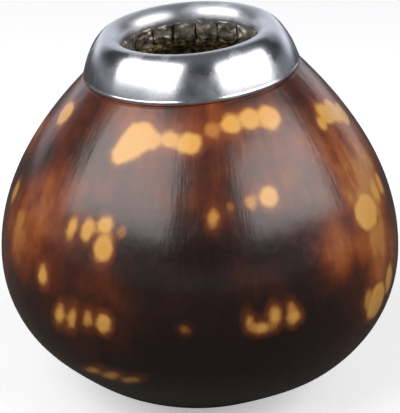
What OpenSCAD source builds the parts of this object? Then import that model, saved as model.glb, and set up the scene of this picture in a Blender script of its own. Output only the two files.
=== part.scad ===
// Mate gourd cup: a hollow dried calabash with a spun aluminium ferrule round its mouth.
// Millimetres, +Z up, origin at the centre of the flat spot that the cup stands on.
// The gourd is a turned form. Its mouth was sawn a little askew, so the neck and the
// ferrule share a frame of their own, set on the shoulder and leaning towards -X.

/* [Gourd] */
// Widest diameter of the belly
belly_d = 96; // [80:1:120]
// Height of the widest point above the table
belly_z = 35.8; // [29:0.2:44]
// Diameter of the flat spot underneath
base_d = 23; // [16:1:32]
// How far the underside runs outwards before it turns up, along its tangent
base_run = 22.4; // [14:0.2:28]
// Angle at which the underside leaves the table
base_rise = 11.4; // [5:0.2:16]
// Height on the axis at which the mouth sits on the shoulder
mouth_z = 80.8; // [68:0.2:100]
// Slope of the shoulder where it reaches the ferrule
shoulder_slope = 45.5; // [35:0.5:55]
// How full the shoulder is above the belly, along its tangent
shoulder_rise = 15.6; // [10:0.2:22]
// How straight the shoulder is below the ferrule, along its tangent
shoulder_run = 21; // [12:0.5:30]
// Thickness of the gourd's wall
wall = 5; // [3:0.5:7]

/* [Mouth] */
// Lean of the mouth away from the upright axis
mouth_tilt = 4.6; // [0:0.2:8]
// Rounding of the neck's outer edge
neck_round = 1; // [0.5:0.1:1.5]

/* [Ferrule] */
// Clear diameter inside the ferrule
mouth_d = 32.2; // [26:0.2:40]
// Radius of the roll from the crest, the highest circle, in to the mouth
roll_r = 3.1; // [2.7:0.1:4.2]
// How far the side spreads from the crest out to the lower edge
side_w = 6.2; // [5:0.1:8]
// Height of the ferrule from its lower edge to its crest
rim_h = 10; // [8.8:0.2:14]
// How far the side leans in over its lower half
side_lean = 1.3; // [0.6:0.1:1.8]
// Thickness of the sheet
sheet = 0.8; // [0.5:0.1:1]
// Radius of the hem rolled into the lower edge
hem_r = 0.7; // [0.6:0.05:1]

/* [Tabs] */
// Number of tabs cut in the inner skirt
tab_n = 19; // [12:1:24]
// Height above the ferrule's lower edge at which the tabs end
tab_end = 1; // [0:0.2:2]
// How far the tabs spread outwards on their way down
tab_flare = 0.8; // [0.2:0.1:1.2]
// Width of the slit between two tabs
slit_w = 0.5; // [0.3:0.1:1]
// Rounding of each tab's lower corners
tab_round = 1.5; // [0.5:0.1:1.8]

/* [Hidden] */
$fn = 96;

// Clearances between the gourd and the ferrule
hem_clear = 0.05;   // below the hem
edge_clear = 0.1;   // from the shoulder's edge to the outside of the hem
tab_clear = 0.1;    // between the tabs and the neck's bore
neck_clear = 0.3;   // everywhere else round the neck

// Steps along each curve
gourd_steps = 26;
side_steps = 14;
roll_steps = 10;
corner_steps = 6;

// Reach of a cutter or a neck past the surface that it meets
past = 2;

// Radii and heights worked out from the values above
belly_r = belly_d / 2;
base_r = base_d / 2;
mouth_r = mouth_d / 2;
crest_r = mouth_r + roll_r;
rim_r = crest_r + side_w;
roll_z = rim_h - roll_r;
shoulder_r = rim_r - edge_clear;
bore_r = mouth_r + tab_flare + sheet + tab_clear;

// A circle that tilts stays on the shoulder's cone when it moves towards its low side
mouth_shift = shoulder_r * sin(mouth_tilt) / tan(shoulder_slope);

// A run of points along a cubic curve, from step i0 to step n
function cubic(p, t) =
    pow(1 - t, 3) * p[0] + 3 * pow(1 - t, 2) * t * p[1]
    + 3 * (1 - t) * t * t * p[2] + pow(t, 3) * p[3];
function curve(p, n, i0 = 0) = [for (i = [i0:n]) cubic(p, i / n)];

// A run of points along an arc round c, from angle a0 to a1, from step i0 to step n
function turned(a) = [cos(a), sin(a)];
function arc(c, r, a0, a1, n, i0 = 0) =
    [for (i = [i0:n]) c + r * turned(a0 + (a1 - a0) * i / n)];

// A line of points moved to its left by d, and a line run backwards
function heading(p, i) =
    let (a = p[max(i - 1, 0)], b = p[min(i + 1, len(p) - 1)]) (b - a) / norm(b - a);
function beside(p, d) =
    [for (i = [0:len(p) - 1]) p[i] + d * [-heading(p, i)[1], heading(p, i)[0]]];
function backwards(p) = [for (i = [len(p) - 1:-1:0]) p[i]];

// Outline of the gourd, from the flat spot round the belly to the mouth
upright = 0.5;      // share of the belly's height in which the side comes upright
down_slope = [cos(shoulder_slope), -sin(shoulder_slope)];
base_curve = [
    [base_r, 0],
    [base_r, 0] + base_run * turned(base_rise),
    [belly_r, belly_z * (1 - upright)],
    [belly_r, belly_z]
];
shoulder_curve = [
    [belly_r, belly_z],
    [belly_r, belly_z + shoulder_rise],
    [shoulder_r, mouth_z] + shoulder_run * down_slope,
    [shoulder_r, mouth_z]
];
skin = concat(curve(base_curve, gourd_steps), curve(shoulder_curve, gourd_steps, 1));

// The skin runs on up its slope, so that the tilted saw cut meets it all round
skin_top = [shoulder_r, mouth_z] - 0.4 * shoulder_r * down_slope;

// The lining is the skin moved in by the wall, run on until it is inside the bore
lining = beside(skin, wall);
lining_end = lining[len(lining) - 1];
lining_top = lining_end - (lining_end[0] - bore_r + past) / down_slope[0] * down_slope;

// Outline of the ferrule's outer face, from the hem over the crest to a tab's end
lean_share = 0.54;      // share of the height in which the side leans
crest_share = 0.38;     // share of the width that stays level with the crest
side_curve = [
    [rim_r, hem_r],
    [rim_r - side_lean, lean_share * rim_h],
    [crest_r + crest_share * side_w, rim_h],
    [crest_r, rim_h]
];
over_crest = concat(
    arc([crest_r, roll_z], roll_r, 90, 180, roll_steps, 1),
    [[mouth_r + tab_flare, tab_end]]
);
side = curve(side_curve, side_steps);

// The sheet's inner face, which starts above the hem
inner_face = [
    for (p = beside(concat(side, over_crest), sheet)) if (p[1] > 2 * hem_r || p[0] < crest_r) p
];
inner_side = [for (p = inner_face) if (p[0] > crest_r) [p[1], p[0]]];
hem_start = acos((hem_r - sheet) / hem_r);
hem = arc([rim_r - hem_r, hem_r], hem_r, hem_start, 360, 3 * corner_steps);

// The neck stands in the room that the ferrule leaves between its side and its tabs
neck_h = roll_z + sqrt(pow(roll_r - sheet, 2) - pow(crest_r - bore_r, 2)) - neck_clear;
neck_r = lookup(neck_h, inner_side) - neck_clear;
neck_foot_r = rim_r - 2 * hem_r - neck_clear;

// The frame of the mouth: its origin is the centre of the sawn face
module at_mouth() {
    translate([-mouth_shift, 0, mouth_z])
        rotate([0, -mouth_tilt, 0])
            children();
}

// The solid gourd, sawn off at the tilted mouth
module sawn_gourd() {
    difference() {
        rotate_extrude()
            polygon(concat([[0, 0]], skin, [skin_top, [0, skin_top[1]]]));
        at_mouth()
            cylinder(r = belly_d, h = belly_d);
    }
}

module neck() {
    rotate_extrude()
        polygon(concat(
            [[0, -past], [neck_foot_r, -past], [neck_foot_r, 0]],
            arc([neck_r - neck_round, neck_h - neck_round], neck_round, 0, 90, corner_steps),
            [[0, neck_h]]
        ));
}

module hollow() {
    rotate_extrude()
        polygon(concat([[0, wall]], lining, [lining_top, [0, lining_top[1]]]));
    at_mouth()
        translate([0, 0, -past])
            cylinder(r = bore_r, h = neck_h + 2 * past);
}

module gourd() {
    color([0.23, 0.12, 0.07])
        difference() {
            union() {
                sawn_gourd();
                at_mouth() neck();
            }
            hollow();
        }
}

// Half of a slit's outline: straight down, then round the corner of the tab beside it
slit_side = concat(
    [[-slit_w / 2, roll_z - sheet / 2]],
    arc([-slit_w / 2 - tab_round, tab_end + tab_round], tab_round, 0, -90, corner_steps),
    [[-slit_w / 2 - tab_round, tab_end - past]]
);

module slit() {
    translate([mouth_r - past, 0, 0])
        rotate([90, 0, 90])
            linear_extrude(bore_r - mouth_r + 2 * past)
                polygon(concat(slit_side, [for (p = backwards(slit_side)) [-p[0], p[1]]]));
}

module spun_sheet() {
    rotate_extrude()
        polygon(concat(hem, curve(side_curve, side_steps, 1), over_crest,
            backwards(inner_face)));
}

module ferrule() {
    color([0.80, 0.81, 0.83])
        at_mouth()
            translate([0, 0, hem_clear])
                difference() {
                    spun_sheet();
                    for (i = [0:tab_n - 1])
                        rotate([0, 0, (i + 0.5) * 360 / tab_n])
                            slit();
                }
}

gourd();
ferrule();
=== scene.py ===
import math
import random

import bpy
import numpy as np
from mathutils import Matrix, Quaternion, Vector


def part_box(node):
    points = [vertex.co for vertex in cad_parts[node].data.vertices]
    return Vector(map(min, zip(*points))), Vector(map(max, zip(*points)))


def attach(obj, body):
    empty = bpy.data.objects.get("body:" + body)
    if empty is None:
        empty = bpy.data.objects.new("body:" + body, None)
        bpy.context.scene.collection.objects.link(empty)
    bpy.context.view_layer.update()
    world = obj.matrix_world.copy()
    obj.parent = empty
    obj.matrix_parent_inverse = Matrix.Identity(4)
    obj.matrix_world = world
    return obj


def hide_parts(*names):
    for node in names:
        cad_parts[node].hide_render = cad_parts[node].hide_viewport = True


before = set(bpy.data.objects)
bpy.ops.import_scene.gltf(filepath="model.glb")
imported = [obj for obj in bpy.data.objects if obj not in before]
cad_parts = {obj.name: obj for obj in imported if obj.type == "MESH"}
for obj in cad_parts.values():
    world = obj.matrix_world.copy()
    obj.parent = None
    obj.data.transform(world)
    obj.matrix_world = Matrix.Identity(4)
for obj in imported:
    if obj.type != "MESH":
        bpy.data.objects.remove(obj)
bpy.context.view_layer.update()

# Mate gourd cup: a dried calabash, marked with a torch and lacquered, with a spun aluminium
# ferrule. Lengths in the dictionaries are millimetres, angles are degrees.
mm = 0.001


def hexColor(code):
    parts = [int(code[i:i + 2], 16) / 255 for i in (1, 3, 5)]
    linear = [c / 12.92 if c <= 0.04045 else ((c + 0.055) / 1.055) ** 2.4 for c in parts]
    return (*linear, 1.0)


def addNode(tree, kind, inputs=None, stops=(), **settings):
    # an input takes a constant, a socket, or a node, which stands for its first output
    node = tree.nodes.new(kind)
    for name, value in settings.items():
        setattr(node, name, value)
    if stops:
        elements = node.color_ramp.elements
        while len(elements) < len(stops):
            elements.new(0.5)
        for element, (place, code) in zip(elements, stops):
            element.position = place
            element.color = hexColor(code)
    for socket, value in (inputs or {}).items():
        if isinstance(value, bpy.types.Node):
            value = value.outputs[0]
        if isinstance(value, bpy.types.NodeSocket):
            tree.links.new(value, node.inputs[socket])
        else:
            node.inputs[socket].default_value = value
    return node


def newMaterial(name):
    material = bpy.data.materials.new(name)
    material.use_nodes = True
    tree = material.node_tree
    tree.nodes.clear()
    return material, tree


def cubicRun(points, count):
    p = [np.array(point, dtype=float) for point in points]
    t = np.linspace(0, 1, count)[:, None]
    return ((1 - t) ** 3 * p[0] + 3 * (1 - t) ** 2 * t * p[1]
            + 3 * (1 - t) * t * t * p[2] + t ** 3 * p[3])


def arcRun(centre, radius, start, end, count):
    a = np.radians(np.linspace(start, end, count))
    return np.array(centre) + radius * np.column_stack([np.cos(a), np.sin(a)])


def besideRun(points, distance):
    heading = np.gradient(points, axis=0)
    heading /= np.linalg.norm(heading, axis=1)[:, None]
    return points + distance * np.column_stack([-heading[:, 1], heading[:, 0]])


def arcLength(points):
    return np.concatenate([[0], np.cumsum(np.linalg.norm(np.diff(points, axis=0), axis=1))])


def smoothStep(x, low, high):
    t = np.clip((x - low) / (high - low), 0, 1)
    return t * t * (3 - 2 * t)


gourdLow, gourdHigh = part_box("gourd")

gourdSizes = {
    "bellyRadius": min(-gourdLow.x, gourdHigh.x, -gourdLow.y, gourdHigh.y) / mm - 0.02,
    "bellyHeight": 35.8,
    "flatRadius": 11.5,        # flat spot underneath
    "underRun": 22.4,          # how far the underside runs out along its tangent
    "underRise": 11.4,
    "upright": 0.5,            # share of the belly's height in which the side comes upright
    "shoulderRise": 15.6,
    "shoulderRun": 21,
    "shoulderSlope": 45.5,
    "mouthHeight": 80.8,
    "mouthTilt": 4.6,
    "wall": 5,
    "around": 360,             # mesh steps round the axis
    "skinRows": 168,
    "liningRows": 56,
    "unevenness": 0.35,        # depth of the soft lumps that a grown shell has
    # azimuth, height, half width in degrees, half height and depth
    "dents": [(-48, 11, 22, 6, 0.8), (30, 7, 20, 4, 0.8), (150, 30, 30, 16, 0.6)],
    "seed": 7,
}

ferruleSizes = {
    "mouthRadius": 16.1,
    "rollRadius": 3.1,
    "sideWidth": 6.2,
    "height": 10,
    "sideLean": 1.3,           # how far the side leans in over its lower half
    "leanShare": 0.54,
    "crestShare": 0.38,
    "sheet": 0.8,
    "skirt": 1.5,              # plain skirt between the roll and the first slits
    "hemRadius": 0.7,
    "beadAngle": 42,           # where the side leaves the rolled hem
    "lift": 0.04,              # clearance under the hem
    "around": 288,
    "along": 221,              # mesh steps along the sheet's outline
    "tabs": 19,
    "tabEnd": 1.0,
    "tabFlare": 0.8,
    "slit": 0.3,
    "tabRound": 1.5,
    "tabTurn": 7,              # how far the crimping turned single tabs
    "tabLean": 0.05,           # how far it leaned them, in radians
    "tabShortest": 0.88,       # their lengths, as shares of the full one
    "tabLongest": 1.06,
    "tabBelly": 0.25,          # how far a tab's middle stands out
    "tabInset": 0.35,          # from the mouth's radius out to the top of a tab
    "tabOverlap": 0.7,         # how far a tab's top is hidden behind the skirt
    "tabSheet": 0.4,
    "tabColumns": 15,
    "tabRows": 17,
    "tabCrumple": 1.44,        # how far the crimp crumpled the tabs, and its folds to the metre
    "tabFolds": 620.0,
    "crinkle": 0.704,          # how far it buckled the skirt
    "crinkleWaves": 9.0,
    "crinkleTop": 0.6,         # heights from the roll's centre where it starts and is full
    "crinkleFull": -1.2,
    "seed": 11,
}

crestRadius = ferruleSizes["mouthRadius"] + ferruleSizes["rollRadius"]
rimRadius = crestRadius + ferruleSizes["sideWidth"]
rollHeight = ferruleSizes["height"] - ferruleSizes["rollRadius"]
seatRadius = rimRadius - 0.1
boreRadius = ferruleSizes["mouthRadius"] + ferruleSizes["tabFlare"] + ferruleSizes["sheet"] + 0.1

mouthTilt = math.radians(gourdSizes["mouthTilt"])
mouthShift = seatRadius * math.sin(mouthTilt) / math.tan(math.radians(gourdSizes["shoulderSlope"]))
mouthCentre = np.array([-mouthShift, 0, gourdSizes["mouthHeight"]])
mouthAcross = np.array([math.cos(mouthTilt), 0, math.sin(mouthTilt)])
mouthAxis = np.array([-math.sin(mouthTilt), 0, math.cos(mouthTilt)])
mouthMatrix = (Matrix.Translation(Vector(mouthCentre * mm))
               @ Matrix.Rotation(-mouthTilt, 4, "Y"))

cameraSetting = {"distance": 500, "elevation": 23.3, "targetHeight": 45.6, "lens": 181.3}

# Azimuths are from the front, + to the right. Facing is where the panel's normal comes from.
softboxes = {
    "softboxLeft": dict(azimuth=-64, elevation=40.5, distance=650, facing=(-48, 22), roll=6,
                        width=800, height=460, radiance=3.6),
    "softboxRight": dict(azimuth=66, elevation=35.5, distance=650, facing=(66, 26), roll=-12,
                         width=720, height=375, radiance=3.6),
}

# A dark room. Each glow is an axis, where on it the light starts and is full, and its strength:
# a pale backdrop behind, a dim ceiling and a little light along the horizon.
roomLight = {
    "front": 0.03,
    "glows": [("Y", 0.60, 0.85, 0.75), ("Z", 0.72, 0.95, 0.10), ("Z", 0.26, 0.08, 0.32)],
    "color": "#eceffa",
}

floorSetting = {
    "half": 3.0,                                     # metres
    "grain": 900.0,                                  # grains to the metre
    "tones": [(0.3, "#f2f2f2"), (0.7, "#f6f6f6")],
    "glow": 0.42,                                    # light added to what the camera sees
    "shade": "#5c5a57",                              # painted shade: the dim floor that every other ray sees
}


def aim(obj, target):
    obj.rotation_mode = "QUATERNION"
    obj.rotation_quaternion = (target - obj.location).to_track_quat("-Z", "Y")


def around(azimuth, elevation, distance):
    a, e = math.radians(azimuth), math.radians(elevation)
    return Vector((math.sin(a) * math.cos(e), -math.cos(a) * math.cos(e), math.sin(e))) * distance


def makeCamera(s):
    target = Vector((0, 0, s["targetHeight"] * mm))
    data = bpy.data.cameras.new("camera")
    data.sensor_width = 36
    data.lens = s["lens"]
    data.clip_start, data.clip_end = 0.01, 20
    camera = bpy.data.objects.new("camera", data)
    camera.location = target + around(0, s["elevation"], s["distance"] * mm)
    aim(camera, target)
    bpy.context.collection.objects.link(camera)
    bpy.context.scene.camera = camera


def makeSoftbox(name, s):
    data = bpy.data.lights.new(name, "AREA")
    data.shape = "RECTANGLE"
    data.size, data.size_y = s["width"] * mm, s["height"] * mm
    data.energy = s["radiance"] * math.pi * data.size * data.size_y
    lamp = bpy.data.objects.new(name, data)
    lamp.location = (Vector((0, 0, 0.06))
                     + around(s["azimuth"], s["elevation"], s["distance"] * mm))
    aim(lamp, lamp.location - around(*s["facing"], 1.0))
    lamp.rotation_quaternion @= Quaternion((0, 0, 1), math.radians(s["roll"]))
    lamp.visible_camera = False
    bpy.context.collection.objects.link(lamp)


def makeWorld(s):
    world = bpy.data.worlds.new("studio")
    bpy.context.scene.world = world
    world.use_nodes = True
    tree = world.node_tree
    tree.nodes.clear()
    direction = addNode(tree, "ShaderNodeTexCoord").outputs["Generated"]
    parts = addNode(tree, "ShaderNodeSeparateXYZ", {0: direction})
    total = s["front"]
    for axis, low, high, strength in s["glows"]:
        glow = addNode(tree, "ShaderNodeMapRange",
                       {"Value": parts.outputs[axis], "From Min": low, "From Max": high,
                        "To Min": 0.0, "To Max": strength}, interpolation_type="SMOOTHSTEP")
        total = addNode(tree, "ShaderNodeMath", {0: glow, 1: total}, operation="ADD")
    room = addNode(tree, "ShaderNodeBackground", {"Color": hexColor(s["color"]), "Strength": total})
    paper = addNode(tree, "ShaderNodeBackground", {"Color": hexColor("#ffffff"), "Strength": 1.0})
    rays = addNode(tree, "ShaderNodeLightPath")
    both = addNode(tree, "ShaderNodeMixShader",
                   {0: rays.outputs["Is Camera Ray"], 1: room, 2: paper})
    addNode(tree, "ShaderNodeOutputWorld", {"Surface": both})


def makeFloor(s):
    material, tree = newMaterial("matteSeamlessPaper")   # coated card, even and without gloss
    place = addNode(tree, "ShaderNodeTexCoord").outputs["Object"]
    grain = addNode(tree, "ShaderNodeTexNoise", {"Vector": place, "Scale": s["grain"]})
    tone = addNode(tree, "ShaderNodeValToRGB", {0: grain}, stops=s["tones"])
    sheet = addNode(tree, "ShaderNodeBsdfDiffuse", {"Color": tone})
    lit = addNode(tree, "ShaderNodeEmission",
                  {"Color": hexColor("#ffffff"), "Strength": s["glow"]})
    paper = addNode(tree, "ShaderNodeAddShader", {0: sheet, 1: lit})
    # painted shade: a dim copy of the floor for every ray but the camera's, so the gourd's
    # reflections and bounced light see the floor dark
    shade = addNode(tree, "ShaderNodeBsdfDiffuse", {"Color": hexColor(s["shade"])})
    rays = addNode(tree, "ShaderNodeLightPath")
    card = addNode(tree, "ShaderNodeMixShader",
                   {0: rays.outputs["Is Camera Ray"], 1: shade, 2: paper})
    addNode(tree, "ShaderNodeOutputMaterial", {"Surface": card})
    half = s["half"]
    mesh = bpy.data.meshes.new("floor")
    mesh.from_pydata([(-half, -half, 0), (half, -half, 0), (half, half, 0), (-half, half, 0)],
                     [], [(0, 1, 2, 3)])
    floor = bpy.data.objects.new("floor", mesh)
    mesh.materials.append(material)
    bpy.context.collection.objects.link(floor)


bpy.context.scene.view_settings.view_transform = "Standard"
makeCamera(cameraSetting)
for name, setting in softboxes.items():
    makeSoftbox(name, setting)
makeWorld(roomLight)
makeFloor(floorSetting)
print("stage: camera, two softboxes, world and floor")

# Pale dots with an amber edge stand in short rows about 5 mm apart, as if a torch with four
# flames had been pressed on. A dot is azimuth, height, half width, half height, slant and
# paleness. Most azimuths and heights here are a scratch script's results, rounded, and some
# were then moved by hand. The rest was given one by one.
torchMarks = [
    # upper left, seen edge on
    (-74, 73, 3.0, 3.0, 25, 1.0),
    # row across the top, left of the middle
    (-25.5, 74.6, 3.9, 3.6, 0, 1.0), (-28.5, 72.8, 3.6, 3.4, 30, 1.0), (-31, 71, 2.6, 2.4, 30, 1.0),
    (-20, 74.2, 2.2, 2.2, 0, 0.9),
    (-12.5, 74.8, 2.5, 2.0, 0, 0.9), (-4.5, 74.3, 2.8, 2.6, 0, 1.0),
    # row across the top, right of the middle
    (5.5, 76.5, 1.7, 1.8, 0, 0.4), (14, 77.5, 2.3, 2.3, 0, 1.0), (23.5, 78, 2.6, 2.5, 0, 1.0),
    (33, 77.6, 2.9, 3.0, 0, 1.0),
    # upper right
    (60, 73.2, 1.7, 1.7, 0, 0.9), (66.5, 74.2, 2.6, 3.2, 30, 1.0), (74, 73.5, 3.0, 3.4, 30, 1.0),
    (81, 71.5, 3.0, 3.0, 40, 0.9),
    # left edge
    (-78, 53.5, 1.6, 3.0, 0, 0.8), (-66, 50.5, 2.2, 2.4, 0, 0.35),
    # left of the middle
    (-41, 54.8, 1.4, 2.5, 0, 0.95), (-35.2, 55.3, 1.7, 2.4, 0, 0.95),
    (-29.6, 57, 1.8, 2.1, 0, 1.0), (-28.8, 52.5, 2.3, 3.1, 0, 1.0), (-24, 56.5, 1.2, 1.3, 0, 0.22),
    # right of the middle
    (22.8, 63.5, 2.3, 2.3, 0, 0.95), (16.5, 63, 1.3, 1.6, 0, 0.5), (9.5, 62.5, 0.8, 1.0, 0, 0.2),
    (4, 60.5, 1.2, 2.0, 0, 0.55),
    # right
    (60, 53.8, 4.8, 4.1, 0, 1.0), (70, 56, 1.8, 2.8, 0, 0.9), (76, 56, 1.8, 2.8, 0, 0.9),
    # single one below the left row
    (-49, 42, 1.6, 2.2, 0, 1.0),
    # low left
    (-42, 34, 1.3, 2.6, -20, 1.0), (-37.5, 34.5, 1.1, 2.5, -15, 0.95),
    (-32, 35.5, 1.2, 1.8, -10, 0.6), (-27, 35.5, 1.9, 2.3, -10, 1.0),
    # dim one near the middle
    (-4, 36.5, 1.0, 0.9, 0, 0.25),
    # low right, a hook and two drops
    (13.3, 38, 0.8, 1.5, 15, 0.7), (16.5, 36, 1.9, 1.3, 0, 0.95), (20.3, 38.3, 1.3, 2.2, 0, 0.95),
    (26, 37.4, 1.5, 1.8, 0, 0.95), (25, 39.4, 0.8, 1.4, 0, 0.5),
    # far right, low
    (59.5, 32, 4.4, 4.6, 0, 0.95), (54, 34.5, 1.6, 2.4, 0, 0.5), (68, 35, 2.6, 3.4, 0, 0.9),
    # bottom left
    (-34.5, 20, 1.0, 2.5, -60, 0.95), (-28, 20, 1.3, 2.6, -60, 0.95),
    (-21.5, 20, 1.0, 2.5, -60, 0.85),
]

dotMelt = 1.1       # how near two dots' edges run together

# Presses on the side that faces away: azimuth and height of the first of three or four dots.
# They are invented.
backPresses = [(100, 74), (128, 58), (96, 40), (150, 76), (170, 62), (140, 36), (186, 44),
               (205, 75), (216, 56), (232, 34), (250, 66), (120, 22), (200, 24), (246, 48)]

# Where the flame passed lightly the gourd stays brown or amber: azimuth, height, half width
# in degrees, half height, strength. Places in front were chosen from a scratch script's results.
lightPatches = [
    (-52, 56, 14, 8, 0.30), (-66, 50, 14, 10, 0.55), (-50, 44, 18, 8, 0.22), (-27, 43, 8, 7, 0.26),
    (-66, 76, 14, 5, 0.10), (-76, 30, 16, 12, 0.20), (76, 30, 16, 14, 0.24), (-58, 22, 20, 8, 0.10),
    (50, 20, 22, 8, 0.10), (-38, 34, 14, 6, 0.12), (-18, 76, 22, 4, 0.20), (14, 78, 20, 4, 0.20),
    (12, 63, 8, 5, 0.12), (58, 56, 14, 12, 0.48), (74, 62, 14, 14, 0.45), (40, 50, 8, 7, 0.34),
    (34, 62, 12, 8, 0.16), (60, 43, 16, 10, 0.46), (20, 47, 10, 5, 0.14), (60, 70, 16, 6, 0.12),
    (-20, 28, 30, 10, 0.04), (-2, 50, 12, 8, 0.03),
    (110, 56, 16, 18, 0.36), (160, 48, 20, 12, 0.24), (190, 70, 20, 8, 0.20),
    (225, 50, 16, 18, 0.36), (262, 60, 14, 14, 0.30), (140, 66, 14, 8, 0.16),
]


def backDots(presses, seed):
    # the gourd's radius at a height is taken roughly, so a row's dots are about 5 mm apart
    rand = random.Random(seed)
    dots = []
    for azimuth, height in presses:
        pitch = math.degrees(5.0 / max(24, 48 - 0.02 * (height - 35) ** 2))
        for i in range(rand.choice((3, 4, 4))):
            dots.append((azimuth + i * pitch, height + 0.5 * i * rand.uniform(-1, 1),
                         rand.uniform(1.3, 2.4), rand.uniform(1.6, 2.8), rand.uniform(-15, 15),
                         rand.choice((0.35, 0.9, 1.0, 1.0))))
    return dots


def skinOutline(s):
    rise, slope = math.radians(s["underRise"]), math.radians(s["shoulderSlope"])
    down = np.array([math.cos(slope), -math.sin(slope)])
    flat = np.array([s["flatRadius"], 0])
    seat = np.array([seatRadius, s["mouthHeight"]])
    under = cubicRun([flat, flat + s["underRun"] * np.array([math.cos(rise), math.sin(rise)]),
                      (s["bellyRadius"], s["bellyHeight"] * (1 - s["upright"])),
                      (s["bellyRadius"], s["bellyHeight"])], 400)
    over = cubicRun([(s["bellyRadius"], s["bellyHeight"]),
                     (s["bellyRadius"], s["bellyHeight"] + s["shoulderRise"]),
                     seat + s["shoulderRun"] * down, seat], 400)
    pastMouth = seat - np.linspace(0, 10, 40)[1:, None] * down
    return np.vstack([under, over[1:], pastMouth])


def turned(outline, angle):
    r, z = outline[..., 0], outline[..., 1]
    return np.stack([r * np.cos(angle), r * np.sin(angle), z + 0 * angle], axis=-1)


def mouthRing(radius, height, angles):
    return (mouthCentre + radius * (np.cos(angles)[:, None] * mouthAcross
                                    + np.sin(angles)[:, None] * np.array([0, 1, 0]))
            + np.broadcast_to(height, angles.shape)[:, None] * mouthAxis)


def resampled(outline, ends, rows, angles):
    length = arcLength(outline)
    share = np.linspace(0, 1, rows)
    places = share[:, None] * ends[None, :]
    r = np.interp(places, length, outline[:, 0])
    z = np.interp(places, length, outline[:, 1])
    return turned(np.stack([r, z], axis=-1), angles[None, :])


def unevenSkin(points, s):
    # lumps and shallow dents, all inwards, fading out at the flat spot and the mouth
    radius = np.hypot(points[..., 0], points[..., 1])
    height = points[..., 2]
    azimuth = np.degrees(np.arctan2(points[..., 0], -points[..., 1]))
    angle = np.radians(azimuth)
    lumps = (np.sin(3 * angle + 0.05 * height + 0.7) + np.sin(5 * angle - 0.08 * height + 2.1)
             + np.sin(2 * angle + 0.11 * height) + np.sin(8 * angle + 0.06 * height + 4.0) * 0.5)
    depth = s["unevenness"] * (0.5 + 0.125 * lumps)
    for centre, level, wide, tall, deep in s["dents"]:
        turn = (azimuth - centre + 180) % 360 - 180
        depth = depth + deep * np.exp(-(turn / wide) ** 2 - ((height - level) / tall) ** 2)
    outsideLow = smoothStep(radius, s["flatRadius"], s["flatRadius"] + 8) + (height > 20)
    fade = np.clip(outsideLow, 0, 1) * smoothStep(s["mouthHeight"] - 4 - height, 0, 10)
    fade = fade * (1 - 0.55 * np.exp(-((np.abs(azimuth) - 90) / 16) ** 2))
    shrink = 1 - depth * fade / np.maximum(radius, 1)
    out = points.copy()
    out[..., 0] *= shrink
    out[..., 1] *= shrink
    return out


def buildGourd(s):
    angles = np.linspace(0, 2 * math.pi, s["around"], endpoint=False)
    outline = skinOutline(s)
    upper = outline[:, 1] > s["bellyHeight"]
    # where the skin's line meets the sawn face, for each direction
    length = arcLength(outline)
    ends = []
    for a in angles:
        line = turned(outline[upper], a)
        ends.append(np.interp(0, (line - mouthCentre) @ mouthAxis, length[upper]))
    skin = unevenSkin(resampled(outline, np.array(ends), s["skinRows"], angles), s)

    # the neck inside the ferrule, in the mouth's own frame
    neckHigh = rollHeight + math.sqrt((ferruleSizes["rollRadius"] - ferruleSizes["sheet"]) ** 2
                                      - (crestRadius - boreRadius) ** 2) - 0.35
    neckOut = rimRadius - 2 * ferruleSizes["hemRadius"] - 0.35
    neckTop = crestRadius + 0.6
    rings = [(neckOut + 0.8, 0), (neckOut, 0), (neckOut - 0.6, 2.2), (neckTop + 0.6, 6.5),
             (neckTop, neckHigh - 0.8), (neckTop - 0.3, neckHigh - 0.2), (neckTop - 0.9, neckHigh),
             (boreRadius + 0.6, neckHigh), (boreRadius + 0.15, neckHigh - 0.15),
             (boreRadius, neckHigh - 0.6), (boreRadius, 7), (boreRadius, 5.5), (boreRadius, 4),
             (boreRadius, 3), (boreRadius, 2)]
    neck = np.array([mouthRing(r, h, angles) for r, h in rings])

    # the lining, from the bore down to the middle of the floor
    inner = besideRun(outline, s["wall"])[::-1]
    innerLength = arcLength(inner)
    topInner = inner[:, 1] > s["bellyHeight"]
    starts = []
    for a in angles:
        line = turned(inner[topInner], a) - mouthCentre
        away = np.linalg.norm(line - (line @ mouthAxis)[:, None] * mouthAxis, axis=1)
        starts.append(np.interp(boreRadius, away, innerLength[topInner]))
    starts = np.array(starts)
    share = np.linspace(0, 1, s["liningRows"])[:, None]
    places = starts[None, :] + share * (innerLength[-1] - starts[None, :])
    r = np.interp(places, innerLength, inner[:, 0])
    z = np.interp(places, innerLength, inner[:, 1])
    lining = turned(np.stack([r, z], axis=-1), angles[None, :])
    bumps = (np.sin(9 * angles + 0.20 * z) + np.sin(14 * angles - 0.35 * z + 1)
             + np.sin(0.9 * z + 3 * angles))
    swell = 1 + 0.22 * bumps * smoothStep(share, 0.02, 0.15) * smoothStep(1 - share, 0, 0.1) / 43
    lining[..., :2] *= swell[..., None]

    floorRings = [turned(np.array([[f * inner[-1, 0], s["wall"]]]), angles)
                  for f in (0.66, 0.33)]
    baseRings = [turned(np.array([[f * s["flatRadius"], 0.0]]), angles)
                 for f in (0.33, 0.66)]
    stack = np.concatenate([np.array(baseRings).reshape(2, -1, 3), skin, neck, lining,
                            np.array(floorRings).reshape(2, -1, 3)])
    rows, steps = stack.shape[:2]
    points = np.vstack([[[0, 0, 0]], stack.reshape(-1, 3), [[0, 0, s["wall"]]]])
    index = 1 + np.arange(rows * steps).reshape(rows, steps)
    nextIndex = np.roll(index, -1, axis=1)
    quads = np.stack([index[:-1], nextIndex[:-1], nextIndex[1:], index[1:]], axis=-1)
    faces = [(0, int(b), int(a)) for a, b in zip(index[0], nextIndex[0])]
    faces += quads.reshape(-1, 4).tolist()
    last = len(points) - 1
    faces += [(last, int(a), int(b)) for a, b in zip(index[-1], nextIndex[-1])]
    underHem = 4                                    # rows of lacquer that run on under the hem
    outside = steps * (len(baseRings) + s["skinRows"] + underHem)
    return points, faces, outside, outline


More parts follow.
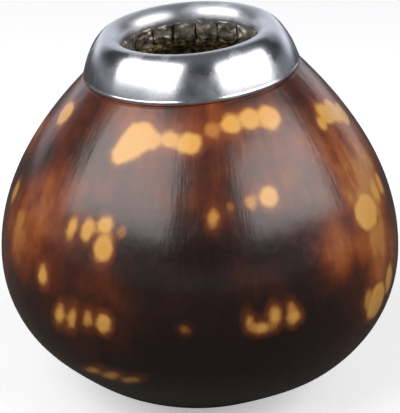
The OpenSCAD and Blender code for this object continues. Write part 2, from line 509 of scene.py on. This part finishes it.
def markFields(points, outline, dots):
    # distance in millimetres outside the nearest torch dot's edge, and how pale that dot is
    length = arcLength(outline)
    edge = np.full(len(points), 9.0)
    pale = np.ones(len(points))
    rows = outline[:, 1] > 0.5
    for azimuth, height, wide, tall, slant, paleness in dots:
        k = np.interp(height, outline[rows, 1], np.arange(len(outline))[rows])
        low, high = outline[int(k)], outline[min(int(k) + 1, len(outline) - 1)]
        spot = low + (high - low) * (k - int(k))
        run = (high - low) / np.linalg.norm(high - low)
        a = math.radians(azimuth)
        outward = np.array([math.sin(a), -math.cos(a), 0])
        east = np.array([math.cos(a), math.sin(a), 0])
        north = outward * run[0] + np.array([0, 0, run[1]])
        offset = points - (outward * spot[0] + np.array([0, 0, spot[1]]))
        near = np.abs(offset @ np.cross(east, north)) < 6
        u, v = offset @ east, offset @ north
        c, s = math.cos(math.radians(slant)), math.sin(math.radians(slant))
        u, v = c * u + s * v, c * v - s * u
        gap = (np.sqrt((u / wide) ** 2 + (v / tall) ** 2) - 1) * min(wide, tall)
        gap = np.where(near, gap, 9.0)
        # neighbours melt into each other, because the heat between them adds up
        share = np.clip(0.5 + 0.5 * (edge - gap) / dotMelt, 0, 1)
        pale = pale + (paleness - pale) * share
        edge = edge + (gap - edge) * share - dotMelt * share * (1 - share)
    return edge, pale


def scorchField(points, patches):
    azimuth = np.degrees(np.arctan2(points[:, 0], -points[:, 1]))
    light = 0.09 + 0.24 * smoothStep(points[:, 2], 54, 65)
    for centre, level, wide, tall, strength in patches:
        turn = (azimuth - centre + 180) % 360 - 180
        light += strength * np.exp(-(turn / wide) ** 2 - ((points[:, 2] - level) / tall) ** 2)
    return light


def addField(mesh, name, values, kind="FLOAT"):
    attribute = mesh.attributes.new(name, kind, "POINT")
    attribute.data.foreach_set("value" if kind == "FLOAT" else "vector",
                               np.asarray(values, dtype=np.float32).ravel())


gourdFinish = {
    "scorchColors": [(0.00, "#1a0f0b"), (0.14, "#27140e"), (0.28, "#451e10"), (0.44, "#6d2f12"),
                     (0.62, "#914619"), (0.80, "#a95f29"), (1.00, "#c5833f")],
    "dotPale": "#f0b056", "dotDim": "#b0622a", "halo": "#8f4a20",
    "streakWidth": 6, "streakLength": 24,        # long brush-like streaks of the flame
    "fibreWidth": 0.5, "fibreLength": 7,         # the shell's own fibres
    "brushWidth": 3.5, "brushLength": 12,        # ridges that a brush leaves in the lacquer
    "cloudSize": 11, "raggedSize": 2.4, "waveSize": 5,
    # each a pattern, the span of it that counts, and what is added at that span's two ends
    "swings": {
        "streaks": ("streak", 0.3, 0.7, -0.20, 0.20),
        "clouds": ("cloud", 0.3, 0.7, -0.42, 0.42),
        "fibres": ("fibre", 0.3, 0.7, -0.02, 0.02),
        "edges": ("ragged", 0.3, 0.7, -0.22, 0.22),
        "fibreGloss": ("fibre", 0.25, 0.75, -0.05, 0.06),
        "cloudGloss": ("cloud", 0.3, 0.7, -0.04, 0.04),
    },
    "dotFull": -0.8, "dotGone": 0.6,             # millimetres outside a dot's edge
    "haloFull": -0.2, "haloGone": 2.0, "haloShare": 0.8,
    "faint": 0.6, "faintCover": 0.45,            # dots less pale than this cover less
    # the skin's relief and the lacquer's: patterns from the bottom up, strengths and heights
    "reliefs": {
        "Normal": [("fibre", 0.6, 0.06), ("wave", 1.0, 0.35), ("cloud", 0.5, 0.5)],
        "Coat Normal": [("fibre", 0.4, 0.03), ("brush", 1.0, 0.09)],
    },
    "roughness": 0.36, "ior": 1.5, "specularLevel": 0.25, "coat": 1.0, "coatRoughness": 0.22,
}


def makeLacqueredCalabash(f):
    # Dried calabash, burned with a torch and brushed with clear lacquer: near-black to amber
    # under a soft gloss, with fibres that run from the base to the mouth.
    material, tree = newMaterial("lacqueredBurntCalabash")
    grain = addNode(tree, "ShaderNodeAttribute", attribute_name="grain").outputs["Vector"]
    scorch = addNode(tree, "ShaderNodeAttribute", attribute_name="scorch").outputs["Fac"]
    edge = addNode(tree, "ShaderNodeAttribute", attribute_name="dotEdge").outputs["Fac"]
    pale = addNode(tree, "ShaderNodeAttribute", attribute_name="dotPale").outputs["Fac"]
    place = addNode(tree, "ShaderNodeTexCoord").outputs["Object"]
    patterns = {}
    for name, detail, rough in (("streak", 4.0, 0.5), ("fibre", 3.0, 0.6), ("brush", 2.0, 0.5)):
        across, along = 1 / (f[name + "Width"] * mm), 1 / (f[name + "Length"] * mm)
        stretched = addNode(tree, "ShaderNodeMapping",
                            {"Vector": grain, "Scale": (across, across, along)})
        patterns[name] = addNode(tree, "ShaderNodeTexNoise",
                                 {"Vector": stretched, "Scale": 1.0, "Detail": detail,
                                  "Roughness": rough})
    for name, detail in (("cloud", 4.0), ("ragged", 1.0), ("wave", 2.0)):
        patterns[name] = addNode(tree, "ShaderNodeTexNoise",
                                 {"Vector": place, "Scale": 1 / (f[name + "Size"] * mm),
                                  "Detail": detail})
    swings = {}
    for name, (pattern, low, high, least, most) in f["swings"].items():
        swings[name] = addNode(tree, "ShaderNodeMapRange",
                               {"Value": patterns[pattern], "From Min": low, "From Max": high,
                                "To Min": least, "To Max": most})
    # lighter where the flame passed lightly, broken up by streaks that follow the fibres
    level = swings["streaks"]
    for operation, other in (("ADD", swings["clouds"]), ("ADD", 1.0), ("MULTIPLY", scorch),
                             ("ADD", swings["fibres"])):
        level = addNode(tree, "ShaderNodeMath", {0: level, 1: other}, operation=operation)
    burnt = addNode(tree, "ShaderNodeValToRGB", {0: level}, stops=f["scorchColors"])
    # each dot is palest in its middle and amber at its ragged edge
    edge = addNode(tree, "ShaderNodeMath", {0: edge, 1: swings["edges"]}, operation="ADD")
    halo = addNode(tree, "ShaderNodeMapRange",
                   {"Value": edge, "From Min": f["haloFull"], "From Max": f["haloGone"],
                    "To Min": f["haloShare"], "To Max": 0.0}, interpolation_type="SMOOTHSTEP")
    halo = addNode(tree, "ShaderNodeMath", {0: halo, 1: pale}, operation="MULTIPLY")
    ringed = addNode(tree, "ShaderNodeMix", {0: halo, 6: burnt, 7: hexColor(f["halo"])},
                     data_type="RGBA", blend_type="LIGHTEN")
    dot = addNode(tree, "ShaderNodeMix",
                  {0: pale, 6: hexColor(f["dotDim"]), 7: hexColor(f["dotPale"])},
                  data_type="RGBA")
    inside = addNode(tree, "ShaderNodeMapRange",
                     {"Value": edge, "From Min": f["dotFull"], "From Max": f["dotGone"],
                      "To Min": 1.0, "To Max": 0.0}, interpolation_type="SMOOTHSTEP")
    cover = addNode(tree, "ShaderNodeMapRange",
                    {"Value": pale, "From Min": 0.0, "From Max": f["faint"],
                     "To Min": f["faintCover"], "To Max": 1.0})
    inDot = addNode(tree, "ShaderNodeMath", {0: inside, 1: cover}, operation="MULTIPLY")
    color = addNode(tree, "ShaderNodeMix", {0: inDot, 6: ringed.outputs[2], 7: dot.outputs[2]},
                    data_type="RGBA")
    # lacquer is thinner on the fibres, so the gloss is streaked as finely as they are
    rough = f["roughness"]
    for swing in ("fibreGloss", "cloudGloss"):
        rough = addNode(tree, "ShaderNodeMath", {0: swings[swing], 1: rough}, operation="ADD")
    # the lacquer levels out most of the skin's relief and keeps the brush's long soft ridges
    reliefs = {}
    for surface, layers in f["reliefs"].items():
        below = {}
        for pattern, strength, height in layers:
            bump = addNode(tree, "ShaderNodeBump",
                           {"Height": patterns[pattern], "Strength": strength,
                            "Distance": height * mm, **below})
            below = {"Normal": bump}
        reliefs[surface] = bump
    shader = addNode(tree, "ShaderNodeBsdfPrincipled",
                     {"Base Color": color.outputs[2], "Roughness": rough, "IOR": f["ior"],
                      "Specular IOR Level": f["specularLevel"], "Coat Weight": f["coat"],
                      "Coat Roughness": f["coatRoughness"], **reliefs})
    addNode(tree, "ShaderNodeOutputMaterial", {"Surface": shader})
    return material


pithFinish = {
    "stained": [(0.3, "#1d130c"), (0.55, "#3a2616"), (0.75, "#5c4124")],
    "fresh": [(0.40, "#43351f"), (0.52, "#7f6a42"), (0.64, "#d8c28c")],
    "poreSize": 3, "fleckSize": 1.1, "poreHeight": 0.5,
    "stainTop": 66, "freshFrom": 76,             # heights between which the stain gives out
    "roughness": 0.8,
}


def makeRawCalabash(f):
    # The inside of a cured mate: bare pith with no gloss, stained dark brown by the herb and
    # paler near the mouth.
    material, tree = newMaterial("curedCalabashPith")
    place = addNode(tree, "ShaderNodeTexCoord").outputs["Object"]
    pores = addNode(tree, "ShaderNodeTexNoise",
                    {"Vector": place, "Scale": 1 / (f["poreSize"] * mm), "Detail": 6.0,
                     "Roughness": 0.65})
    stained = addNode(tree, "ShaderNodeValToRGB", {0: pores}, stops=f["stained"])
    flecks = addNode(tree, "ShaderNodeTexNoise",
                     {"Vector": place, "Scale": 1 / (f["fleckSize"] * mm), "Detail": 4.0})
    fresh = addNode(tree, "ShaderNodeValToRGB", {0: flecks}, stops=f["fresh"])
    height = addNode(tree, "ShaderNodeSeparateXYZ", {0: place}).outputs["Z"]
    top = addNode(tree, "ShaderNodeMapRange",
                  {"Value": height, "From Min": f["stainTop"] * mm,
                   "From Max": f["freshFrom"] * mm})
    tone = addNode(tree, "ShaderNodeMix", {0: top, 6: stained, 7: fresh}, data_type="RGBA")
    relief = addNode(tree, "ShaderNodeBump",
                     {"Height": pores, "Strength": 0.8, "Distance": f["poreHeight"] * mm})
    shader = addNode(tree, "ShaderNodeBsdfPrincipled",
                     {"Base Color": tone.outputs[2], "Roughness": f["roughness"],
                      "Normal": relief})
    addNode(tree, "ShaderNodeOutputMaterial", {"Surface": shader})
    return material


def makeGourd(s):
    points, faces, outside, outline = buildGourd(s)
    mesh = bpy.data.meshes.new("gourdBody")
    mesh.from_pydata((points * mm).tolist(), [], faces)
    mesh.materials.append(makeLacqueredCalabash(gourdFinish))
    mesh.materials.append(makeRawCalabash(pithFinish))
    slots = np.ones(len(faces), dtype=np.int32)
    slots[:outside] = 0
    mesh.polygons.foreach_set("material_index", slots)
    mesh.polygons.foreach_set("use_smooth", np.ones(len(faces), dtype=bool))
    edge, pale = markFields(points, outline, torchMarks + backDots(backPresses, s["seed"]))
    addField(mesh, "dotEdge", edge)
    addField(mesh, "dotPale", pale)
    addField(mesh, "scorch", scorchField(points, lightPatches))
    direction = points[:, :2] / np.maximum(np.linalg.norm(points[:, :2], axis=1), 1e-6)[:, None]
    run = np.interp(points[:, 2], outline[:, 1], arcLength(outline))
    addField(mesh, "grain",
             np.column_stack([direction * s["bellyRadius"], run]) * mm, "FLOAT_VECTOR")
    mesh.update()
    gourd = bpy.data.objects.new("gourdBody", mesh)
    bpy.context.collection.objects.link(gourd)
    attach(gourd, "root")
    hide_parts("gourd")
    print("gourd:", len(faces), "faces")


makeGourd(gourdSizes)


def newTree(name, sockets):
    tree = bpy.data.node_groups.new(name, "GeometryNodeTree")
    tree.interface.new_socket("Geometry", in_out="INPUT", socket_type="NodeSocketGeometry")
    for label, kind in sockets.items():
        tree.interface.new_socket(label, in_out="INPUT", socket_type="NodeSocket" + kind)
    tree.interface.new_socket("Geometry", in_out="OUTPUT", socket_type="NodeSocketGeometry")
    return tree, addNode(tree, "NodeGroupInput")


def endTree(tree, geometry, materialSocket):
    real = addNode(tree, "GeometryNodeRealizeInstances", {0: geometry})
    painted = addNode(tree, "GeometryNodeSetMaterial",
                      {"Geometry": real, "Material": materialSocket})
    addNode(tree, "NodeGroupOutput", {0: painted})


def treeToMesh(name, seedMesh, tree, values):
    # runs the tree once and keeps its result as a plain mesh
    seed = bpy.data.objects.new(name + "Seed", seedMesh)
    bpy.context.collection.objects.link(seed)
    modifier = seed.modifiers.new("nodes", "NODES")
    modifier.node_group = tree
    for item in tree.interface.items_tree:
        if item.in_out == "INPUT" and item.name in values:
            modifier[item.identifier] = values[item.name]
    evaluated = seed.evaluated_get(bpy.context.evaluated_depsgraph_get())
    mesh = bpy.data.meshes.new_from_object(evaluated)
    mesh.name = name
    seed.modifiers.remove(modifier)
    bpy.data.objects.remove(seed)
    return mesh


def spunTree():
    tree, given = newTree("spunSheet", {"Steps Around": "Int", "Steps Along": "Int",
                                        "Crinkle": "Float", "Crinkle Size": "Float",
                                        "Crinkle Top": "Float", "Crinkle Full": "Float",
                                        "Crest Radius": "Float", "Material": "Material"})
    line = addNode(tree, "GeometryNodeMeshToCurve", {0: given.outputs["Geometry"]})
    grid = addNode(tree, "GeometryNodeMeshGrid",
                   {"Size X": 1.0, "Size Y": 1.0, "Vertices X": given.outputs["Steps Around"],
                    "Vertices Y": given.outputs["Steps Along"]})
    place = addNode(tree, "ShaderNodeSeparateXYZ", {0: addNode(tree, "GeometryNodeInputPosition")})
    turn = addNode(tree, "ShaderNodeMath", {0: place.outputs["X"], 1: 2 * math.pi},
                   operation="MULTIPLY")
    share = addNode(tree, "ShaderNodeMath", {0: place.outputs["Y"], 1: 0.5}, operation="ADD")
    sample = addNode(tree, "GeometryNodeSampleCurve", {"Curves": line, "Factor": share},
                     mode="FACTOR")
    outline = addNode(tree, "ShaderNodeSeparateXYZ", {0: sample.outputs["Position"]})
    cosine = addNode(tree, "ShaderNodeMath", {0: turn}, operation="COSINE")
    sine = addNode(tree, "ShaderNodeMath", {0: turn}, operation="SINE")
    # the crimp buckles the sheet on the mouth side, more the lower it gets
    ahead = addNode(tree, "ShaderNodeCombineXYZ", {0: cosine, 1: sine, 2: 0.0})
    spot = addNode(tree, "ShaderNodeVectorMath",
                   {0: ahead, "Scale": given.outputs["Crinkle Size"]}, operation="SCALE")
    buckle = addNode(tree, "ShaderNodeTexNoise", {"Vector": spot, "Scale": 1.0, "Detail": 2.0})
    low = addNode(tree, "ShaderNodeMapRange",
                  {"Value": outline.outputs["Z"], "From Min": given.outputs["Crinkle Top"],
                   "From Max": given.outputs["Crinkle Full"]},
                  interpolation_type="SMOOTHSTEP")
    inner = addNode(tree, "ShaderNodeMath",
                    {0: outline.outputs["X"], 1: given.outputs["Crest Radius"]},
                    operation="LESS_THAN")
    radius = buckle
    for operation, other in (("SUBTRACT", 0.5), ("MULTIPLY", given.outputs["Crinkle"]),
                             ("MULTIPLY", low), ("MULTIPLY", inner), ("ADD", outline.outputs["X"])):
        radius = addNode(tree, "ShaderNodeMath", {0: radius, 1: other}, operation=operation)
    x = addNode(tree, "ShaderNodeMath", {0: radius, 1: cosine}, operation="MULTIPLY")
    y = addNode(tree, "ShaderNodeMath", {0: radius, 1: sine}, operation="MULTIPLY")
    spun = addNode(tree, "ShaderNodeCombineXYZ", {0: x, 1: y, 2: outline.outputs["Z"]})
    moved = addNode(tree, "GeometryNodeSetPosition",
                    {"Geometry": grid.outputs["Mesh"], "Position": spun})
    length = addNode(tree, "GeometryNodeCurveLength", {0: line})
    along = addNode(tree, "ShaderNodeMath", {0: share, 1: length}, operation="MULTIPLY")
    kept = addNode(tree, "GeometryNodeStoreNamedAttribute",
                   {"Geometry": moved, "Name": "along", "Value": along},
                   data_type="FLOAT", domain="POINT")
    closed = addNode(tree, "GeometryNodeMergeByDistance", {"Geometry": kept, "Distance": 0.002 * mm})
    smooth = addNode(tree, "GeometryNodeSetShadeSmooth", {"Geometry": closed})
    endTree(tree, smooth, given.outputs["Material"])
    return tree


def ferruleOutline(s):
    bead = np.array([rimRadius - s["hemRadius"], s["hemRadius"]])
    start = bead + s["hemRadius"] * np.array([math.cos(math.radians(s["beadAngle"])),
                                              math.sin(math.radians(s["beadAngle"]))])
    side = cubicRun([start, (rimRadius - s["sideLean"], s["leanShare"] * s["height"]),
                     (crestRadius + s["crestShare"] * s["sideWidth"], s["height"]),
                     (crestRadius, s["height"])], 40)
    roll = arcRun((crestRadius, rollHeight), s["rollRadius"], 90, 180, 30)[1:]
    skirt = [[s["mouthRadius"] + 0.1 * k, rollHeight - s["skirt"] * (k + 1) / 5] for k in range(5)]
    outer = np.vstack([side, roll, skirt])
    inner = besideRun(outer, s["sheet"])
    inner = inner[(inner[:, 1] > 2 * s["hemRadius"]) | (inner[:, 0] < crestRadius)]
    turnIn = math.degrees(math.acos((s["hemRadius"] - s["sheet"]) / s["hemRadius"]))
    hem = arcRun(bead, s["hemRadius"], turnIn, 360 + s["beadAngle"], 26)
    return np.vstack([hem[:-1], outer, inner[::-1]])


def outlineMesh(name, outline):
    mesh = bpy.data.meshes.new(name)
    count = len(outline)
    mesh.from_pydata([(r * mm, 0, z * mm) for r, z in outline],
                     [(i, (i + 1) % count) for i in range(count)], [])
    return mesh


def tabTree():
    tree, given = newTree("crimpedTabs", {"Tabs": "Int", "Columns": "Int", "Rows": "Int",
                                          "Tab Width": "Float", "Tab Length": "Float",
                                          "Ring Radius": "Float", "Corner": "Float",
                                          "Flare": "Float", "Belly": "Float", "Sheet": "Float",
                                          "Turn": "Float", "Lean": "Float",
                                          "Shortest": "Float", "Longest": "Float",
                                          "Crumple": "Float", "Folds": "Float", "Seed": "Int",
                                          "Material": "Material"})
    size = given.outputs
    # one tab: a strip bent to the bore, with rounded lower corners and a bellied middle
    grid = addNode(tree, "GeometryNodeMeshGrid",
                   {"Size X": 1.0, "Size Y": 1.0, "Vertices X": size["Columns"],
                    "Vertices Y": size["Rows"]})
    place = addNode(tree, "ShaderNodeSeparateXYZ", {0: addNode(tree, "GeometryNodeInputPosition")})
    # down runs from 0 at the fold to 1 at the end
    down = addNode(tree, "ShaderNodeMath", {0: 0.5, 1: place.outputs["Y"]}, operation="SUBTRACT")
    # squared distance below the top of a lower corner's circle
    below = down
    for operation, other in (("MULTIPLY", size["Tab Length"]), ("SUBTRACT", size["Tab Length"]),
                             ("ADD", size["Corner"]), ("MAXIMUM", 0.0), ("POWER", 2.0)):
        below = addNode(tree, "ShaderNodeMath", {0: below, 1: other}, operation=operation)
    # the circle's half chord there, then the strip's width, then the place across it
    across = size["Corner"]
    for operation, other in (("POWER", 2.0), ("SUBTRACT", below), ("MAXIMUM", 0.0), ("SQRT", 0.0),
                             ("SUBTRACT", size["Corner"]), ("MULTIPLY", 2.0),
                             ("ADD", size["Tab Width"]), ("MULTIPLY", place.outputs["X"])):
        across = addNode(tree, "ShaderNodeMath", {0: across, 1: other}, operation=operation)
    bend = across
    for operation, other in (("POWER", 2.0), ("DIVIDE", 2.0), ("DIVIDE", size["Ring Radius"])):
        bend = addNode(tree, "ShaderNodeMath", {0: bend, 1: other}, operation=operation)
    belly = down
    for operation, other in (("MULTIPLY", math.pi), ("SINE", 0.0), ("MULTIPLY", size["Belly"])):
        belly = addNode(tree, "ShaderNodeMath", {0: belly, 1: other}, operation=operation)
    out = down
    for operation, other in (("MULTIPLY", size["Flare"]), ("SUBTRACT", bend), ("SUBTRACT", belly)):
        out = addNode(tree, "ShaderNodeMath", {0: out, 1: other}, operation=operation)
    height = down
    for other in (size["Tab Length"], -1.0):
        height = addNode(tree, "ShaderNodeMath", {0: height, 1: other}, operation="MULTIPLY")
    strip = addNode(tree, "GeometryNodeSetPosition",
                    {"Geometry": grid.outputs["Mesh"],
                     "Position": addNode(tree, "ShaderNodeCombineXYZ",
                                         {0: out, 1: across, 2: height})})
    # each place round the ring gets the tab with its own small turn, lean and length
    ring = addNode(tree, "GeometryNodeMeshCircle",
                   {"Vertices": size["Tabs"], "Radius": size["Ring Radius"]})
    step = addNode(tree, "ShaderNodeMath", {0: 2 * math.pi, 1: size["Tabs"]}, operation="DIVIDE")
    facing = addNode(tree, "ShaderNodeMath",
                     {0: addNode(tree, "GeometryNodeInputIndex"), 1: step}, operation="MULTIPLY")
    drawn = {}
    for name, offset in (("Turn", 0.0), ("Lean", 5.0)):
        low = addNode(tree, "ShaderNodeMath", {0: size[name], 1: -1.0}, operation="MULTIPLY")
        seed = addNode(tree, "ShaderNodeMath", {0: size["Seed"], 1: offset}, operation="ADD")
        drawn[name] = addNode(tree, "FunctionNodeRandomValue",
                              {2: low, 3: size[name], "Seed": seed}, data_type="FLOAT")
    seed = addNode(tree, "ShaderNodeMath", {0: size["Seed"], 1: 9.0}, operation="ADD")
    longer = addNode(tree, "FunctionNodeRandomValue",
                     {2: size["Shortest"], 3: size["Longest"], "Seed": seed}, data_type="FLOAT")
    turn = addNode(tree, "ShaderNodeMath", {0: facing, 1: drawn["Turn"].outputs[1]},
                   operation="ADD")
    turn = addNode(tree, "ShaderNodeCombineXYZ", {0: drawn["Lean"].outputs[1], 1: 0.0, 2: turn})
    scale = addNode(tree, "ShaderNodeCombineXYZ", {0: 1.0, 1: 1.0, 2: longer.outputs[1]})
    placed = addNode(tree, "GeometryNodeInstanceOnPoints",
                     {"Points": ring, "Instance": strip, "Rotation": turn, "Scale": scale})
    real = addNode(tree, "GeometryNodeRealizeInstances", {0: placed})
    # crumple, then give the strip its thickness
    crumple = addNode(tree, "ShaderNodeTexNoise",
                      {"Vector": addNode(tree, "GeometryNodeInputPosition"),
                       "Scale": size["Folds"], "Detail": 2.0})
    centred = addNode(tree, "ShaderNodeVectorMath",
                      {0: crumple.outputs["Color"], 1: (0.5, 0.5, 0.5)}, operation="SUBTRACT")
    push = addNode(tree, "ShaderNodeVectorMath", {0: centred, "Scale": size["Crumple"]},
                   operation="SCALE")
    buckled = addNode(tree, "GeometryNodeSetPosition", {"Geometry": real, "Offset": push})
    back = addNode(tree, "GeometryNodeExtrudeMesh",
                   {"Mesh": buckled, "Offset Scale": size["Sheet"], "Individual": False},
                   mode="FACES")
    front = addNode(tree, "GeometryNodeFlipFaces", {0: buckled})
    both = addNode(tree, "GeometryNodeJoinGeometry")
    tree.links.new(back.outputs[0], both.inputs[0])
    tree.links.new(front.outputs[0], both.inputs[0])
    closed = addNode(tree, "GeometryNodeMergeByDistance", {"Geometry": both, "Distance": 0.002 * mm})
    smooth = addNode(tree, "GeometryNodeSetShadeSmooth", {"Geometry": closed})
    endTree(tree, smooth, size["Material"])
    return tree


ferruleFinish = {
    "color": "#e6e7ec",
    "ringPitch": 0.3, "ringHeight": 0.01,        # rings left by the spinning roller
    "wearSize": 7, "scratchSize": 0.9, "scratchHeight": 0.15,
    "roughness": 0.23, "ringRoughness": 0.06, "wornRoughness": 0.12,
    "rollRoughness": 0.18,                       # lips and spoons have dulled the roll
    "anisotropy": 0.7,
}


def makePolishedAluminium(f):
    # Aluminium sheet, spun over a chuck and buffed: mirror-like between fine rings that
    # scatter light into a soft haze, with bright scuffs from use.
    material, tree = newMaterial("spunPolishedAluminium")
    place = addNode(tree, "ShaderNodeTexCoord").outputs["Object"]
    along = addNode(tree, "ShaderNodeAttribute", attribute_name="along").outputs["Fac"]
    dulled = addNode(tree, "ShaderNodeAttribute", attribute_name="dulled").outputs["Fac"]
    rings = addNode(tree, "ShaderNodeTexNoise",
                    {"W": along, "Scale": 1 / (f["ringPitch"] * mm), "Detail": 1.0},
                    noise_dimensions="1D")
    wear = addNode(tree, "ShaderNodeTexNoise",
                   {"Vector": place, "Scale": 1 / (f["wearSize"] * mm), "Detail": 3.0})
    scratch = addNode(tree, "ShaderNodeTexNoise",
                      {"Vector": place, "Scale": 1 / (f["scratchSize"] * mm), "Detail": 4.0,
                       "Roughness": 0.7, "Distortion": 2.5})
    worn, grooved = [addNode(tree, "ShaderNodeMapRange",
                             {"Value": pattern, "From Min": 0.52, "From Max": full},
                             interpolation_type="SMOOTHSTEP")
                     for pattern, full in ((wear, 0.68), (rings, 0.64))]
    rough = f["roughness"]
    for share, most in ((grooved, f["ringRoughness"]), (worn, f["wornRoughness"]),
                        (dulled, f["rollRoughness"])):
        rough = addNode(tree, "ShaderNodeMath", {0: share, 1: most, 2: rough},
                        operation="MULTIPLY_ADD")
    depth = addNode(tree, "ShaderNodeMath", {0: worn, 1: 0.10, 2: 0.02},
                    operation="MULTIPLY_ADD")
    relief = addNode(tree, "ShaderNodeBump",
                     {"Height": scratch, "Strength": depth, "Distance": f["scratchHeight"] * mm})
    relief = addNode(tree, "ShaderNodeBump",
                     {"Height": rings, "Strength": 0.15, "Distance": f["ringHeight"] * mm,
                      "Normal": relief})
    grooves = addNode(tree, "ShaderNodeTangent", direction_type="RADIAL", axis="Z")
    shader = addNode(tree, "ShaderNodeBsdfPrincipled",
                     {"Base Color": hexColor(f["color"]), "Metallic": 1.0, "Roughness": rough,
                      "Anisotropic": f["anisotropy"], "Anisotropic Rotation": 0.25,
                      "Tangent": grooves, "Normal": relief})
    addNode(tree, "ShaderNodeOutputMaterial", {"Surface": shader})
    return material


stainFinish = {
    "tones": [(0.30, "#5a4d40"), (0.48, "#94887a"), (0.60, "#c4bbad"), (0.74, "#8f7f45")],
    "stainSize": 2.5, "creaseSize": 0.7, "creaseHeight": 0.2,
    "metallic": 0.6, "roughness": 0.36,
}


def makeStainedAluminium(f):
    # The same sheet where the herb has stained it: brown and olive, duller, crumpled.
    material, tree = newMaterial("stainedCrimpedAluminium")
    place = addNode(tree, "ShaderNodeTexCoord").outputs["Object"]
    stain = addNode(tree, "ShaderNodeTexNoise",
                    {"Vector": place, "Scale": 1 / (f["stainSize"] * mm), "Detail": 4.0})
    tone = addNode(tree, "ShaderNodeValToRGB", {0: stain}, stops=f["tones"])
    creases = addNode(tree, "ShaderNodeTexNoise",
                      {"Vector": place, "Scale": 1 / (f["creaseSize"] * mm), "Detail": 3.0})
    relief = addNode(tree, "ShaderNodeBump",
                     {"Height": creases, "Strength": 0.6, "Distance": f["creaseHeight"] * mm})
    shader = addNode(tree, "ShaderNodeBsdfPrincipled",
                     {"Base Color": tone, "Metallic": f["metallic"],
                      "Roughness": f["roughness"], "Normal": relief})
    addNode(tree, "ShaderNodeOutputMaterial", {"Surface": shader})
    return material


def finishPiece(mesh, name, node):
    mesh.transform(mouthMatrix @ Matrix.Translation((0, 0, ferruleSizes["lift"] * mm)))
    piece = bpy.data.objects.new(name, mesh)
    bpy.context.collection.objects.link(piece)
    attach(piece, "root")
    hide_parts(node)
    print(name + ":", len(mesh.polygons), "faces")


def makeFerrule(s):
    polished = makePolishedAluminium(ferruleFinish)
    stained = makeStainedAluminium(stainFinish)
    outline = ferruleOutline(s)
    sheet = treeToMesh("ferruleSheet", outlineMesh("ferruleOutline", outline), spunTree(), {
        "Steps Around": s["around"] + 1, "Steps Along": s["along"],
        "Crinkle": s["crinkle"] * mm, "Crinkle Size": s["crinkleWaves"],
        "Crinkle Top": (rollHeight + s["crinkleTop"]) * mm,
        "Crinkle Full": (rollHeight + s["crinkleFull"]) * mm,
        "Crest Radius": crestRadius * mm, "Material": polished})
    away = np.array([math.hypot(v.co.x, v.co.y) / mm for v in sheet.vertices])
    addField(sheet, "dulled", smoothStep(crestRadius + 1.5 - away, 0, 2.5))
    finishPiece(sheet, "ferruleSheet", "ferrule")
    pitch = 2 * math.pi * s["mouthRadius"] / s["tabs"]
    tabTop = rollHeight - s["skirt"] + s["tabOverlap"]
    tabs = treeToMesh("ferruleTabs", bpy.data.meshes.new("tabSeed"), tabTree(), {
        "Tabs": s["tabs"], "Columns": s["tabColumns"], "Rows": s["tabRows"],
        "Tab Width": (pitch - s["slit"]) * mm, "Tab Length": (tabTop - s["tabEnd"]) * mm,
        "Ring Radius": (s["mouthRadius"] + s["tabInset"]) * mm, "Corner": s["tabRound"] * mm,
        "Flare": (s["tabFlare"] - s["tabInset"]) * mm, "Belly": s["tabBelly"] * mm,
        "Sheet": s["tabSheet"] * mm, "Turn": math.radians(s["tabTurn"]), "Lean": s["tabLean"],
        "Shortest": s["tabShortest"], "Longest": s["tabLongest"],
        "Crumple": s["tabCrumple"] * mm, "Folds": s["tabFolds"], "Seed": s["seed"],
        "Material": stained})
    tabs.transform(Matrix.Translation((0, 0, tabTop * mm)))
    finishPiece(tabs, "ferruleTabs", "ferrule")


makeFerrule(ferruleSizes)
